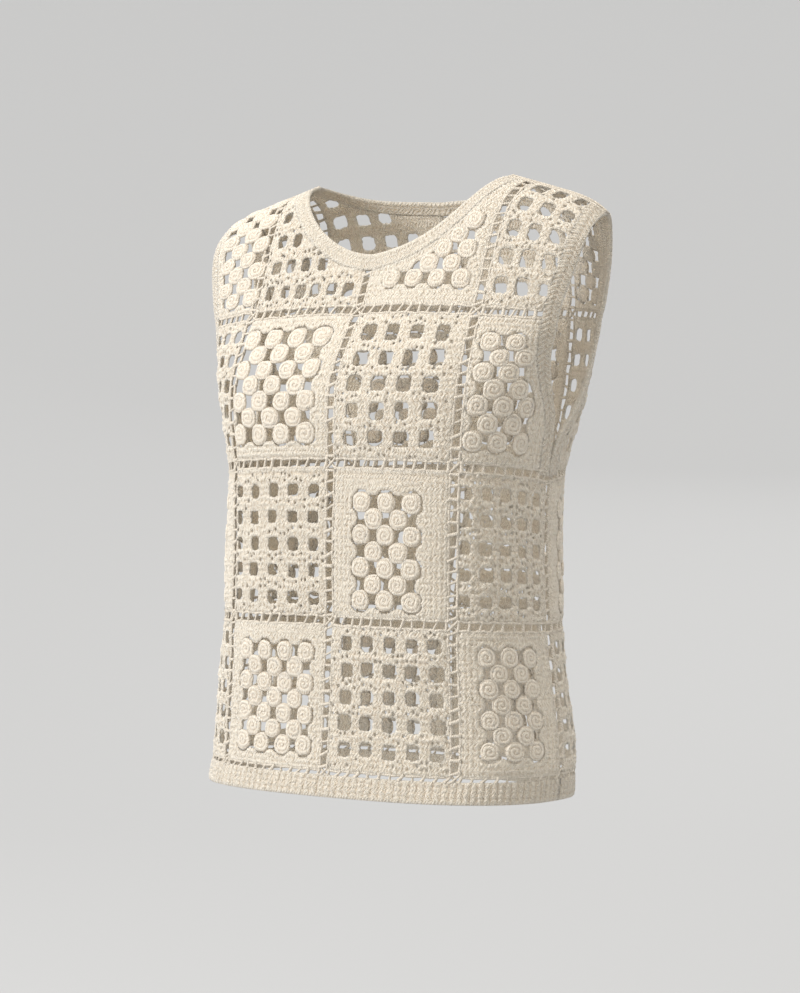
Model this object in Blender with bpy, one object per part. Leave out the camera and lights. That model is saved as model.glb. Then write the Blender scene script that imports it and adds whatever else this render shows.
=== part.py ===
# Patchwork crochet top, worn shape and empty: squares in four rows round the body, with neck, armhole and hem bands.
# Lengths are in millimetres until the mesh is written. X is the wearer's left, -Y the front, Z up.
# The origin is on the shoulder line, midway between the shoulders, where the top is held up.
import bpy
import numpy as np

millimetre = 0.001

# Form of the body of the top, one line for each level from the hem up.
# row counts squares from the hem seam, height is at centre front, half widths are front and back,
# wideY is where the side runs, frontY and backY are centre front and centre back,
# round is how square the front corner is, drop is how much lower the level is at the side.
levelColumns = ("row", "height", "half", "backHalf", "wideY", "frontY", "backY", "round", "drop")
levelLines = (
    (-0.17, -531, 182, 182, -40, -141, 60, 2.5, 0),
    (0.00, -510, 183, 183, -37, -137, 56, 2.4, 0),
    (1.00, -379, 166, 166, -30, -129, 58, 2.9, 5),
    (2.00, -242, 161, 161, -23, -126, 78, 3.1, 12),
    (2.50, -173, 179, 187, -26, -122, 78, 2.8, 6),
    (3.00, -106, 197, 203, -27, -88, 75, 2.9, 14),
)

# Armhole edge, counted in columns out from the centre, for the front and for the back.
armColumns = ("row", "front", "back")
armLines = (
    (2.00, 2.00, 2.00),
    (2.20, 2.00, 2.00),
    (2.33, 1.96, 1.89),
    (2.50, 1.84, 1.78),
    (2.75, 1.74, 1.70),
    (3.00, 1.74, 1.67),
    (3.50, 1.80, 1.68),
    (3.80, 1.79, 1.70),
    (4.00, 1.75, 1.75),
)

innerShare = 0.553      # share of the half front taken by the inner square
backRound = 2.3
seamAtShoulder = 130    # where the seam between inner and outer squares meets the shoulder
tipX = 210
tipY = -5
tipZ = -27
neckHalf = 106
neckZ = 12
shoulderSlope = 0.28
riseLow = 0.42          # how long the yoke rises straight before it turns in
riseTop = 0.36
neckDrop = {"front": 0.65, "back": 0.27}       # in rows below the shoulder line
neckRound = {"front": 1.8, "back": 2.2}
neckBandDrop = 0.10
neckBandWide = 0.115
armBandWide = 0.15

wallThick = 3.0
bandThick = 3.0
seamGapAcross = 0.0015  # each side of a seam, in columns
seamGapUp = 0.0013      # each side of a seam, in rows
bandGap = 0.002         # each side of a slanting band seam, in columns
shoulderGap = 0.0012

squareSteps = 6
outerSteps = 5
bandSteps = 2
ringAngles = np.linspace(0.0, np.pi / 2, 61)

levels = {name: [line[i] for line in levelLines] for i, name in enumerate(levelColumns)}
armEdges = {name: [line[i] for line in armLines] for i, name in enumerate(armColumns)}


def smoothValue(rows, values, row):
    # smooth curve through a short table, flat where the table turns back
    last = len(rows) - 1
    k = min(max(int(np.searchsorted(rows, row, side="right")) - 1, 0), last - 1)
    steps = np.diff(rows)
    slopes = np.diff(values) / steps

    def slopeAt(i):
        if i == 0 or i == last:
            return slopes[min(i, last - 1)]
        mean = (slopes[i - 1] * steps[i] + slopes[i] * steps[i - 1]) / (steps[i - 1] + steps[i])
        if slopes[i - 1] * slopes[i] <= 0:
            return mean * 0.5
        return mean

    t = (row - rows[k]) / steps[k]
    low = values[k] * (2 * t**3 - 3 * t**2 + 1) + values[k + 1] * (3 * t**2 - 2 * t**3)
    return low + steps[k] * (slopeAt(k) * (t**3 - 2 * t**2 + t) + slopeAt(k + 1) * (t**3 - t**2))


def levelValue(name, row):
    return smoothValue(levels["row"], levels[name], row)


def bodyPoint(side, across, row):
    # a point on the tube below the shoulders, spaced along the cloth
    half = levelValue("half" if side == "front" else "backHalf", row)
    wideY = levelValue("wideY", row)
    endY = levelValue("frontY" if side == "front" else "backY", row)
    power = 2.0 / (levelValue("round", row) if side == "front" else backRound)
    x = half * np.sin(ringAngles) ** power
    y = wideY + (endY - wideY) * np.cos(ringAngles) ** power
    run = np.concatenate([[0.0], np.cumsum(np.hypot(np.diff(x), np.diff(y)))])
    inner = innerShare * run[-1]
    place = inner * across if across <= 1 else inner + (run[-1] - inner) * (across - 1)
    z = levelValue("height", row) - levelValue("drop", row) * (across / 2) ** 2
    return np.array([np.interp(place, run, x), np.interp(place, run, y), z])


def shoulderPoint(across):
    x = np.interp(across, [0, 1, 1.75, 2], [0, seamAtShoulder, tipX, tipX + 6])
    reach = max(min(x, tipX + 4) - neckHalf, 0.0)
    tipFall = tipZ - neckZ + shoulderSlope * (tipX - neckHalf)
    z = neckZ - shoulderSlope * reach + tipFall * (reach / (tipX - neckHalf)) ** 8
    return np.array([x, tipY * x / tipX, z])


def yokePoint(side, across, row):
    # the cloth rises from the bust row and turns over to the shoulder line
    start = bodyPoint(side, across, 3.0)
    rise = start - bodyPoint(side, across, 2.94)
    rise = rise / np.linalg.norm(rise)
    end = shoulderPoint(across)
    reach = np.linalg.norm(end - start)
    outward = np.array([0.0, -1.0 if side == "front" else 1.0, -0.1])
    first = start + rise * reach * riseLow
    second = end + outward * reach * riseTop
    t = np.linspace(0, 1, 41)[:, None]
    curve = (1 - t) ** 3 * start + 3 * (1 - t) ** 2 * t * first + 3 * (1 - t) * t**2 * second + t**3 * end
    run = np.concatenate([[0.0], np.cumsum(np.linalg.norm(np.diff(curve, axis=0), axis=1))])
    place = (row - 3.0) * run[-1]
    return np.array([np.interp(place, run, curve[:, i]) for i in range(3)])


def topPoint(side, across, row):
    point = bodyPoint(side, abs(across), row) if row <= 3 else yokePoint(side, abs(across), row)
    if across < 0:
        point[0] = -point[0]
    return point


def topNormal(side, across, row):
    step = 0.01
    left = topPoint(side, max(across - step, -2), row)
    right = topPoint(side, min(across + step, 2), row)
    low = topPoint(side, across, max(row - step, -0.17))
    high = topPoint(side, across, min(row + step, 4))
    normal = np.cross(right - left, high - low)
    if side == "back":
        normal = -normal
    if abs(across) < 0.005:
        normal[0] = 0.0
    if abs(across) > 1.99 or row > 3.99:
        normal[1] = 0.0
    return normal / np.linalg.norm(normal)


def neckEdge(side, turn, wide=0.0, deep=0.0):
    # turn runs from -1 at one shoulder through centre to 1 at the other
    angle = abs(turn) * np.pi / 2
    power = 2.0 / neckRound[side]
    across = (neckHalf / seamAtShoulder + wide) * np.sin(angle) ** power
    row = 4.0 - (neckDrop[side] + deep) * np.cos(angle) ** power
    return float(np.copysign(across, turn)), float(row)


def armEdge(side, row, inside=0.0):
    return smoothValue(armEdges["row"], armEdges[side], row) - inside


def clothMaterial(name, colour):
    material = bpy.data.materials.new(name)
    material.use_nodes = True
    shader = material.node_tree.nodes["Principled BSDF"]
    shader.inputs["Base Color"].default_value = (*colour, 1.0)
    shader.inputs["Roughness"].default_value = 0.9
    return material


def sheetSolid(name, side, places, thick, colour):
    # a wall with its outer face through the given places, a grid of (across, row)
    count, height = len(places), len(places[0])
    outer = []
    inner = []
    for column in places:
        for across, row in column:
            point = topPoint(side, across, row)
            normal = topNormal(side, across, row)
            outer.append(point * millimetre)
            inner.append((point - normal * thick) * millimetre)
    total = len(outer)
    faces = []

    def addQuad(a, b, c, d):
        faces.append((a, b, c))
        faces.append((a, c, d))

    for i in range(count - 1):
        for j in range(height - 1):
            a = i * height + j
            b = a + height
            addQuad(a, b, b + 1, a + 1)
            addQuad(total + a, total + a + 1, total + b + 1, total + b)
    border = [i * height for i in range(count)]
    border += [(count - 1) * height + j for j in range(1, height)]
    border += [i * height + height - 1 for i in range(count - 2, -1, -1)]
    border += list(range(height - 2, 0, -1))
    for k, a in enumerate(border):
        b = border[(k + 1) % len(border)]
        addQuad(a, total + a, total + b, b)
    if side == "back":
        faces = [(a, c, b) for a, b, c in faces]
    mesh = bpy.data.meshes.new(name)
    mesh.from_pydata([tuple(p) for p in outer + inner], [], faces)
    mesh.update()
    mesh.materials.append(clothMaterial(name + "_cotton", colour))
    piece = bpy.data.objects.new(name, mesh)
    bpy.context.scene.collection.objects.link(piece)
    return piece


def gridPlaces(leftEdge, rightEdge, rows, steps):
    # straight lines across, between two edges given for each row
    columns = []
    for i in range(steps + 1):
        share = i / steps
        columns.append([(leftEdge(r) * (1 - share) + rightEdge(r) * share, r) for r in rows])
    return columns


def mirrored(places):
    return [[(-across, row) for across, row in column] for column in reversed(places)]


def rowPlaces(low, high, steps):
    top = shoulderGap if high == 4 else seamGapUp
    return np.linspace(low + seamGapUp, high - top, steps + 1)


def innerSquare(low):
    rows = rowPlaces(low, low + 1, squareSteps)
    return gridPlaces(lambda r: seamGapAcross, lambda r: 1 - seamGapAcross, rows, squareSteps)


def outerSquare(side, low):
    rows = rowPlaces(low, low + 1, squareSteps)
    if low < 2:
        return gridPlaces(lambda r: 1 + seamGapAcross, lambda r: 2 - seamGapAcross, rows, outerSteps)
    return gridPlaces(
        lambda r: 1 + seamGapAcross,
        lambda r: armEdge(side, r, armBandWide + bandGap),
        rows,
        outerSteps,
    )


def yokeSquare(side):
    # the inner yoke square is cut away along the neck band
    wide = neckBandWide + bandGap
    deep = neckBandDrop + bandGap
    top = [neckEdge(side, turn, wide, deep) for turn in np.linspace(0, 1, squareSteps + 1)]
    top[0] = (seamGapAcross, top[0][1])
    top[-1] = (top[-1][0], 4 - shoulderGap)
    top.append((1 - seamGapAcross, 4 - shoulderGap))
    low = 3 + seamGapUp
    span = top[-2][0]
    foot = [seamGapAcross + (span - seamGapAcross) * i / squareSteps for i in range(squareSteps + 1)]
    foot.append(1 - seamGapAcross)
    columns = []
    for start, (across, row) in zip(foot, top):
        line = []
        for share in np.linspace(0, 1, squareSteps + 1):
            line.append((start * (1 - share) + across * share, low * (1 - share) + row * share))
        columns.append(line)
    # the seam side keeps the same steps as its neighbour
    seamRows = rowPlaces(3, 4, squareSteps)
    columns[-1] = [(1 - seamGapAcross, row) for row in seamRows]
    return columns


for old in list(bpy.data.objects):
    bpy.data.objects.remove(old, do_unlink=True)

creamLight = (0.84, 0.77, 0.66)
creamDeep = (0.78, 0.70, 0.58)
rowNames = ("lower", "middle", "bust", "yoke")
for side in ("front", "back"):
    for low, rowName in enumerate(rowNames):
        for reach in ("inner", "outer"):
            if reach == "outer":
                places = outerSquare(side, low)
            elif low == 3:
                places = yokeSquare(side)
            else:
                places = innerSquare(low)
            colour = creamLight if (low + (reach == "outer")) % 2 else creamDeep
            sheetSolid(f"{side}_{rowName}_{reach}_left", side, places, wallThick, colour)
            sheetSolid(f"{side}_{rowName}_{reach}_right", side, mirrored(places), wallThick, colour)
    print("squares on the", side)

for side in ("front", "back"):
    columns = []
    for turn in np.linspace(-1, 1, 2 * squareSteps + 1):
        inside = neckEdge(side, turn)
        outside = neckEdge(side, turn, neckBandWide, neckBandDrop)
        line = []
        for share in np.linspace(0, 1, bandSteps + 1):
            across = outside[0] * (1 - share) + inside[0] * share
            row = min(outside[1] * (1 - share) + inside[1] * share, 4 - shoulderGap)
            line.append((across, row))
        columns.append(line)
    sheetSolid(f"neck_band_{side}", side, columns, bandThick, creamLight)

    rows = np.concatenate([rowPlaces(2, 3, squareSteps)[:-1], [3.0], rowPlaces(3, 4, squareSteps)[1:]])
    places = gridPlaces(
        lambda r: armEdge(side, r, armBandWide - bandGap),
        lambda r: armEdge(side, r, seamGapAcross),
        rows,
        bandSteps,
    )
    sheetSolid(f"arm_band_{side}_left", side, places, bandThick, creamLight)
    sheetSolid(f"arm_band_{side}_right", side, mirrored(places), bandThick, creamLight)

    rows = (-0.17, -seamGapUp)
    edge = 2 - seamGapAcross
    places = gridPlaces(lambda r: -edge, lambda r: edge, rows, 4 * squareSteps)
    sheetSolid(f"hem_band_{side}", side, places, bandThick, creamLight)
    print("bands on the", side)
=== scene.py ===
# Patchwork crochet top in cream cotton: lace squares, ladders and bands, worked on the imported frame.
import bpy
import math
import numpy as np
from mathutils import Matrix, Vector


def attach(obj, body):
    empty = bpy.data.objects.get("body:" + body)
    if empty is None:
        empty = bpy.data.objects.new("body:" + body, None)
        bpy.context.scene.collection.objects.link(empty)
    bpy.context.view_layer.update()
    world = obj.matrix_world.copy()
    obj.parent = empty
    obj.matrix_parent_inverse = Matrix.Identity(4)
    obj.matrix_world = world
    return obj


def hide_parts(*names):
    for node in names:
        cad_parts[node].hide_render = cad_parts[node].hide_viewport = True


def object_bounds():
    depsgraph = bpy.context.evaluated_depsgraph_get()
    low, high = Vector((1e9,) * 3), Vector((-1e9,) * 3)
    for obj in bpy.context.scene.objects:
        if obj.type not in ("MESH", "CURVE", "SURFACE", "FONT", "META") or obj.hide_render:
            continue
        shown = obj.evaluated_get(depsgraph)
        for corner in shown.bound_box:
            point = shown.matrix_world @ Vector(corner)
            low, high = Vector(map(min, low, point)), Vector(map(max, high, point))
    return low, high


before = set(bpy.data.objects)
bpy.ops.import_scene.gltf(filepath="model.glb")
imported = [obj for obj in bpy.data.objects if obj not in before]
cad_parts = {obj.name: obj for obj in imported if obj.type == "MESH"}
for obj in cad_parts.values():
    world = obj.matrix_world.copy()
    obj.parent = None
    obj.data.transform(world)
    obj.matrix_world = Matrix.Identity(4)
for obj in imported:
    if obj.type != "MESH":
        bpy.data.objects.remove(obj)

cadLow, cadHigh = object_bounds()
mm = 0.001
sides = ("front", "back")

# the form of the top, the same sizes as the walls it is worked on
# row counts squares up from the hem seam, across counts them out from the centre
form = {
    "row": (-0.17, 0.00, 1.00, 2.00, 2.50, 3.00),
    "height": (-531, -510, -379, -242, -173, -106),
    "half": (182, 183, 166, 161, 179, 197),
    "backHalf": (182, 183, 166, 161, 187, 203),
    "wideY": (-40, -37, -30, -23, -26, -27),
    "frontY": (-141, -137, -129, -126, -122, -88),
    "backY": (60, 56, 58, 78, 78, 75),
    "round": (2.5, 2.4, 2.9, 3.1, 2.8, 2.9),
    "drop": (0, 0, 5, 12, 6, 14),
    "innerShare": 0.553,
    "backRound": 2.3,
    "seamAtShoulder": 130,
    "tip": (210, -5, -27),
    "neckHalf": 106,
    "neckZ": 12,
    "shoulderSlope": 0.28,
    "riseLow": 0.42,
    "riseTop": 0.36,
}
armhole = {
    "row": (2.00, 2.20, 2.33, 2.50, 2.75, 3.00, 3.50, 3.80, 4.00),
    "front": (2.00, 2.00, 1.96, 1.84, 1.74, 1.74, 1.80, 1.79, 1.75),
    "back": (2.00, 2.00, 1.89, 1.78, 1.70, 1.67, 1.68, 1.70, 1.75),
    "bandWide": 0.15,
}
neck = {
    "drop": {"front": 0.65, "back": 0.27},
    "round": {"front": 1.8, "back": 2.2},
    "bandDrop": 0.10,
    "bandWide": 0.115,
}
# flat size of a square in millimetres, by column and by row of squares
squareWide = {"inner": 125.0, "outer": 102.0}
squareHigh = {"lower": 131.0, "middle": 137.0, "bust": 140.0, "yoke": 148.0}
rowNames = ("lower", "middle", "bust", "yoke")


def smoothCurve(knots, values, at):
    knots = np.asarray(knots, float)
    values = np.asarray(values, float)
    at = np.asarray(at, float)
    steps = np.diff(knots)
    slopes = np.diff(values) / steps
    lean = np.concatenate([[slopes[0]], np.zeros(len(knots) - 2), [slopes[-1]]])
    for i in range(1, len(knots) - 1):
        mean = (slopes[i - 1] * steps[i] + slopes[i] * steps[i - 1]) / (steps[i - 1] + steps[i])
        lean[i] = mean * 0.5 if slopes[i - 1] * slopes[i] <= 0 else mean
    k = np.clip(np.searchsorted(knots, at, side="right") - 1, 0, len(knots) - 2)
    t = (at - knots[k]) / steps[k]
    low = values[k] * (2 * t**3 - 3 * t**2 + 1) + values[k + 1] * (3 * t**2 - 2 * t**3)
    return low + steps[k] * (lean[k] * (t**3 - 2 * t**2 + t) + lean[k + 1] * (t**3 - t**2))


def levelRing(side, row, across):
    # one level of the tube, its points spaced along the cloth
    def value(name):
        return float(smoothCurve(form["row"], form[name], row))

    turn = np.linspace(0.0, np.pi / 2, 121)
    half = value("half" if side == "front" else "backHalf")
    wideY = value("wideY")
    endY = value("frontY" if side == "front" else "backY")
    power = 2.0 / (value("round") if side == "front" else form["backRound"])
    x = half * np.sin(turn) ** power
    y = wideY + (endY - wideY) * np.cos(turn) ** power
    run = np.concatenate([[0.0], np.cumsum(np.hypot(np.diff(x), np.diff(y)))])
    inner = form["innerShare"] * run[-1]
    place = np.where(across <= 1, inner * across, inner + (run[-1] - inner) * (across - 1))
    z = value("height") - value("drop") * (across / 2) ** 2
    return np.stack([np.interp(place, run, x), np.interp(place, run, y), z], axis=1)


def shoulderEdge(across):
    tipX, tipY, tipZ = form["tip"]
    x = np.interp(across, [0, 1, 1.75, 2], [0, form["seamAtShoulder"], tipX, tipX + 6])
    reach = np.maximum(np.minimum(x, tipX + 4) - form["neckHalf"], 0.0)
    span = tipX - form["neckHalf"]
    tipFall = tipZ - form["neckZ"] + form["shoulderSlope"] * span
    z = form["neckZ"] - form["shoulderSlope"] * reach + tipFall * (reach / span) ** 8
    return np.stack([x, tipY * x / tipX, z], axis=1)


def yokeCurves(side, across, rows):
    start = levelRing(side, 3.0, across)
    rise = start - levelRing(side, 2.94, across)
    rise /= np.linalg.norm(rise, axis=1)[:, None]
    end = shoulderEdge(across)
    reach = np.linalg.norm(end - start, axis=1)[:, None]
    outward = np.array([0.0, -1.0 if side == "front" else 1.0, -0.1])
    first = start + rise * reach * form["riseLow"]
    second = end + outward * reach * form["riseTop"]
    made = np.zeros((len(across), len(rows), 3))
    t = np.linspace(0, 1, 81)[:, None]
    for i in range(len(across)):
        curve = (1 - t) ** 3 * start[i] + 3 * (1 - t) ** 2 * t * first[i]
        curve = curve + 3 * (1 - t) * t**2 * second[i] + t**3 * end[i]
        run = np.concatenate([[0.0], np.cumsum(np.linalg.norm(np.diff(curve, axis=0), axis=1))])
        for c in range(3):
            made[i, :, c] = np.interp((rows - 3.0) * run[-1], run, curve[:, c])
    return made


perSquare = 100  # steps of the form table to a square
acrossSteps = np.linspace(0.0, 2.0, 2 * perSquare + 1)
rowSteps = np.linspace(-0.18, 4.0, 419)


def formTable(side):
    points = np.zeros((len(acrossSteps), len(rowSteps), 3))
    bodyRows = int((rowSteps <= 3.0 + 1e-9).sum())
    for j in range(bodyRows):
        points[:, j] = levelRing(side, rowSteps[j], acrossSteps)
    points[:, bodyRows:] = yokeCurves(side, acrossSteps, rowSteps[bodyRows:])
    normal = np.cross(np.gradient(points, axis=0), np.gradient(points, axis=1))
    if side == "back":
        normal = -normal
    normal[0, :, 0] = 0.0
    normal[-1, :, 1] = 0.0
    normal[:, -1, 1] = 0.0
    normal /= np.linalg.norm(normal, axis=2)[:, :, None]
    return np.concatenate([points, normal], axis=2)


tables = {side: formTable(side) for side in sides}
slack = {"wave": 0.8, "ripple": 0.5, "fade": 0.4, "seamPull": 0.9, "seamWide": 9}


def slackOf(across, row):
    # the slight waviness of soft cloth, dying away at the side seams and the shoulders
    fade = np.clip((2 - np.abs(across)) / slack["fade"], 0, 1) * np.clip((4 - row) / slack["fade"], 0, 1)
    wave = slack["wave"] * np.sin(5.1 * across + 1.7 * row) * np.sin(4.3 * row + 0.6)
    wave = wave + slack["ripple"] * np.sin(9.0 * across - 2.0 * row + 1.0) * np.sin(7.9 * row)
    # a seam draws the cloth in a little
    for place, size in ((across, 125), (row, 135)):
        away = np.abs(place - np.round(place)) * size / slack["seamWide"]
        wave = wave - slack["seamPull"] * np.exp(-(away ** 2))
    return wave * fade


def placeOn(side, across, row, lift, withNormal=False):
    # lift is millimetres out from the cloth's outer face
    across = np.asarray(across, float)
    row = np.clip(np.asarray(row, float), rowSteps[0], 4.0)
    a = np.clip(np.abs(across) * perSquare, 0, len(acrossSteps) - 1.00001)
    r = np.clip((row - rowSteps[0]) * perSquare, 0, len(rowSteps) - 1.00001)
    i, j = a.astype(int), r.astype(int)
    fa, fr = (a - i)[..., None], (r - j)[..., None]
    table = tables[side]
    got = (table[i, j] * (1 - fa) * (1 - fr) + table[i + 1, j] * fa * (1 - fr)
           + table[i, j + 1] * (1 - fa) * fr + table[i + 1, j + 1] * fa * fr)
    point, normal = got[..., :3].copy(), got[..., 3:].copy()
    for values in (point, normal):
        values[..., 0] *= np.where(across < 0, -1.0, 1.0)
    normal /= np.linalg.norm(normal, axis=-1)[..., None]
    point = (point + normal * (lift + slackOf(across, row))[..., None]) * mm
    return (point, normal) if withNormal else point


def armEdge(side, row):
    return smoothCurve(armhole["row"], armhole[side], row)


def neckReach(side, across, row, wide=0.0, deep=0.0):
    # millimetres outside the rounded neck edge, along a line from the neck's middle
    n = neck["round"][side]
    far = (np.abs(across) / (form["neckHalf"] / form["seamAtShoulder"] + wide)) ** n
    down = (np.maximum(4.0 - row, 1e-6) / (neck["drop"][side] + deep)) ** n
    ratio = np.maximum((far + down) ** (1 / n), 1e-6)
    return (1 - 1 / ratio) * np.hypot(across * 125.0, (4.0 - row) * 148.0)


print("form worked out")


# mesh making
def addToScene(name, data):
    added = bpy.data.objects.new(name, data)
    bpy.context.scene.collection.objects.link(added)
    return added


def meshFrom(name, points, tris, flat, hollowShade):
    mesh = bpy.data.meshes.new(name)
    mesh.vertices.add(len(points))
    mesh.vertices.foreach_set("co", np.asarray(points, np.float32).ravel())
    mesh.loops.add(3 * len(tris))
    mesh.loops.foreach_set("vertex_index", np.asarray(tris, np.int32).ravel())
    mesh.polygons.add(len(tris))
    mesh.polygons.foreach_set("loop_start", np.arange(0, 3 * len(tris), 3, dtype=np.int32))
    mesh.update(calc_edges=True)
    mesh.shade_smooth()
    # each point keeps its place on the flat, and a painted shade value for how deep it lies between stitches,
    # which darkens the cotton
    flatPlace = mesh.attributes.new("flatPlace", "FLOAT_VECTOR", "POINT")
    flatPlace.data.foreach_set("vector", np.asarray(flat, np.float32).ravel())
    depth = mesh.attributes.new("hollowShade", "FLOAT", "POINT")
    depth.data.foreach_set("value", np.asarray(hollowShade, np.float32).ravel())
    return addToScene(name, mesh)


def gridTris(across, up):
    # two triangles for each cell, the diagonal turning from cell to cell
    i, j = np.meshgrid(np.arange(across), np.arange(up), indexing="ij")
    a = (i * (up + 1) + j).ravel()
    b, c, d = a + up + 1, a + up + 2, a + 1
    even = ((i + j) % 2 == 0).ravel()
    first = np.where(even[:, None], np.stack([a, b, c], 1), np.stack([a, b, d], 1))
    second = np.where(even[:, None], np.stack([a, c, d], 1), np.stack([b, c, d], 1))
    return np.concatenate([first, second])


def sidesOf(tris):
    return np.concatenate([tris[:, [0, 1]], tris[:, [1, 2]], tris[:, [2, 0]]])


cutting = {"passes": 3, "feel": 0.05, "leastSlope": 0.05, "mostShift": 0.62}


def cutCloth(field, left, right, foot, head, step):
    # a flat grid of cloth with its points drawn onto the edges of the holes, and the holes left out
    across = int(round((right - left) / step))
    up = int(round((head - foot) / step))
    u, v = np.meshgrid(np.linspace(left, right, across + 1), np.linspace(foot, head, up + 1), indexing="ij")
    u, v = u.ravel(), v.ravel()
    onSide = (u < left + 1e-6) | (u > right - 1e-6)
    onLevel = (v < foot + 1e-6) | (v > head - 1e-6)
    tris = gridTris(across, up)
    value = field(u, v)
    edges = np.unique(np.sort(sidesOf(tris), axis=1), axis=0)
    one, two = value[edges[:, 0]], value[edges[:, 1]]
    at = np.unique(np.where(np.abs(one) < np.abs(two), edges[:, 0], edges[:, 1])[one * two < 0])
    pu, pv = u[at].copy(), v[at].copy()
    small = cutting["feel"]
    for _ in range(cutting["passes"]):
        here = field(pu, pv)
        du = (field(pu + small, pv) - here) / small
        dv = (field(pu, pv + small) - here) / small
        size = np.maximum(du * du + dv * dv, cutting["leastSlope"])
        pu = np.where(onSide[at], pu, pu - here * du / size)
        pv = np.where(onLevel[at], pv, pv - here * dv / size)
    most = step * cutting["mostShift"]
    u[at], v[at] = np.clip(pu, u[at] - most, u[at] + most), np.clip(pv, v[at] - most, v[at] + most)
    value = field(u, v)
    value[at] = 0.0
    three = value[tris]
    middle = field(u[tris].mean(1), v[tris].mean(1))
    tris = wholeCloth(tris[(three.min(1) >= 0) & ((three.max(1) > 0) | (middle > 0))], len(u))
    used, place = np.unique(tris, return_inverse=True)
    return partFans(u[used], v[used], place.reshape(-1, 3))


def wholeCloth(tris, count):
    # scraps that hang by nothing are dropped
    parent = np.arange(count)
    before = None
    while before is None or (before != parent).any():
        before = parent.copy()
        low = parent[tris].min(axis=1)
        for c in range(3):
            np.minimum.at(parent, tris[:, c], low)
        parent = parent[parent]
    groups, sizes = np.unique(parent[tris[:, 0]], return_counts=True)
    return tris[parent[tris[:, 0]] == groups[sizes.argmax()]]


def rimEdges(tris):
    directed = sidesOf(tris)
    key = np.sort(directed, axis=1)
    order = key[:, 0].astype(np.int64) * (tris.max() + 1) + key[:, 1]
    where, uses = np.unique(order, return_index=True, return_counts=True)[1:]
    return directed[where[uses == 1]]


def partFans(u, v, tris):
    # where two corners of cloth touch at one point, each gets a point of its own
    points, uses = np.unique(rimEdges(tris), return_counts=True)
    for p in points[uses > 2]:
        rows = np.nonzero((tris == p).any(1))[0]
        left = [set(tris[r]) - {p} for r in rows]
        group = list(range(len(rows)))
        for i in range(len(rows)):
            for j in range(i):
                if left[i] & left[j]:
                    old, new = group[i], group[j]
                    group = [new if g == old else g for g in group]
        for g in sorted(set(group))[1:]:
            for k, r in enumerate(rows):
                if group[k] == g:
                    tris[r][tris[r] == p] = len(u)
            u, v = np.append(u, u[p]), np.append(v, v[p])
    return u, v, tris


# inner faces, coils and threads lie on levels of their own over the flat, so that their grain differs
flatLevel = {"inside": 40, "coil": 20.0, "thread": 90.0}


def wallSolid(name, side, across, row, tris, topLift, lowLift, flat, hollowShade):
    # a closed wall: outer face, inner face and the rim between them
    count = len(across)
    points = np.concatenate([placeOn(side, across, row, topLift), placeOn(side, across, row, lowLift)])
    a, b = rimEdges(tris).T
    rim = [np.stack([b, a, a + count], 1), np.stack([b, a + count, b + count], 1)]
    faces = np.concatenate([tris, tris[:, ::-1] + count] + rim)
    if side == "back":
        faces = faces[:, ::-1]
    under = flat.copy()
    under[:, 2] += flatLevel["inside"]
    # the inner face gets six tenths of the outer face's painted shade
    hollowShade = np.concatenate([hollowShade, hollowShade * 0.6])
    return meshFrom(name, points, faces, np.concatenate([flat, under]), hollowShade)


def roundedHeight(distance, most, rimShare, reach):
    # full height inside, falling round towards the rim
    t = np.clip(distance / reach, 0, 1)
    return most * (rimShare + (1 - rimShare) * np.sqrt(1 - (1 - t) ** 2))


def unitRows(vectors):
    return vectors / np.maximum(np.linalg.norm(vectors, axis=1)[:, None], 1e-9)


def ringFaces(rings, corners):
    # faces of a closed tube of rings; a point at each end comes after all the rings
    k = np.arange(corners)
    after = (k + 1) % corners
    i, j = np.meshgrid(np.arange(rings - 1), k, indexing="ij")
    p, q = i * corners + j, i * corners + (j + 1) % corners
    ends, last = rings * corners, (rings - 1) * corners
    return np.concatenate([
        np.stack([p, q + corners, q], 2).reshape(-1, 3),
        np.stack([p, p + corners, q + corners], 2).reshape(-1, 3),
        np.stack([np.full(corners, ends), k, after], 1),
        np.stack([np.full(corners, ends + 1), last + after, last + k], 1),
    ])


def tubes(name, corners, work):
    # many threads or cords in one piece; each is a side, a line of (across, row, lift) and its radius
    allPoints, allFaces, allFlat, base = [], [], [], 0
    turn = np.linspace(0, 2 * np.pi, corners, endpoint=False)
    for side, line, thick in work:
        point, normal = placeOn(side, line[:, 0], line[:, 1], line[:, 2], withNormal=True)
        along = unitRows(np.gradient(point, axis=0))
        beside = unitRows(np.cross(along, normal))
        over = np.cross(beside, along)
        thick = np.broadcast_to(np.asarray(thick, float), (len(line),)) * mm
        ring = (point[:, None] + thick[:, None, None] * (np.cos(turn)[None, :, None] * beside[:, None]
                + np.sin(turn)[None, :, None] * over[:, None]))
        run = np.concatenate([[0.0], np.cumsum(np.linalg.norm(np.diff(point, axis=0), axis=1))]) / mm
        flat = np.broadcast_arrays(run[:, None], (turn * 1.2)[None, :], np.full((1, 1), flatLevel["thread"]))
        flat = np.stack(flat, axis=2).reshape(-1, 3)
        allFaces.append(ringFaces(len(line), corners) + base)
        allPoints.append(np.concatenate([ring.reshape(-1, 3), point[:1], point[-1:]]))
        allFlat.append(np.concatenate([flat, flat[:1], flat[-1:]]))
        base += len(flat) + 2
    flat = np.concatenate(allFlat)
    return meshFrom(name, np.concatenate(allPoints), np.concatenate(allFaces), flat, np.zeros(len(flat)))


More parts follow.
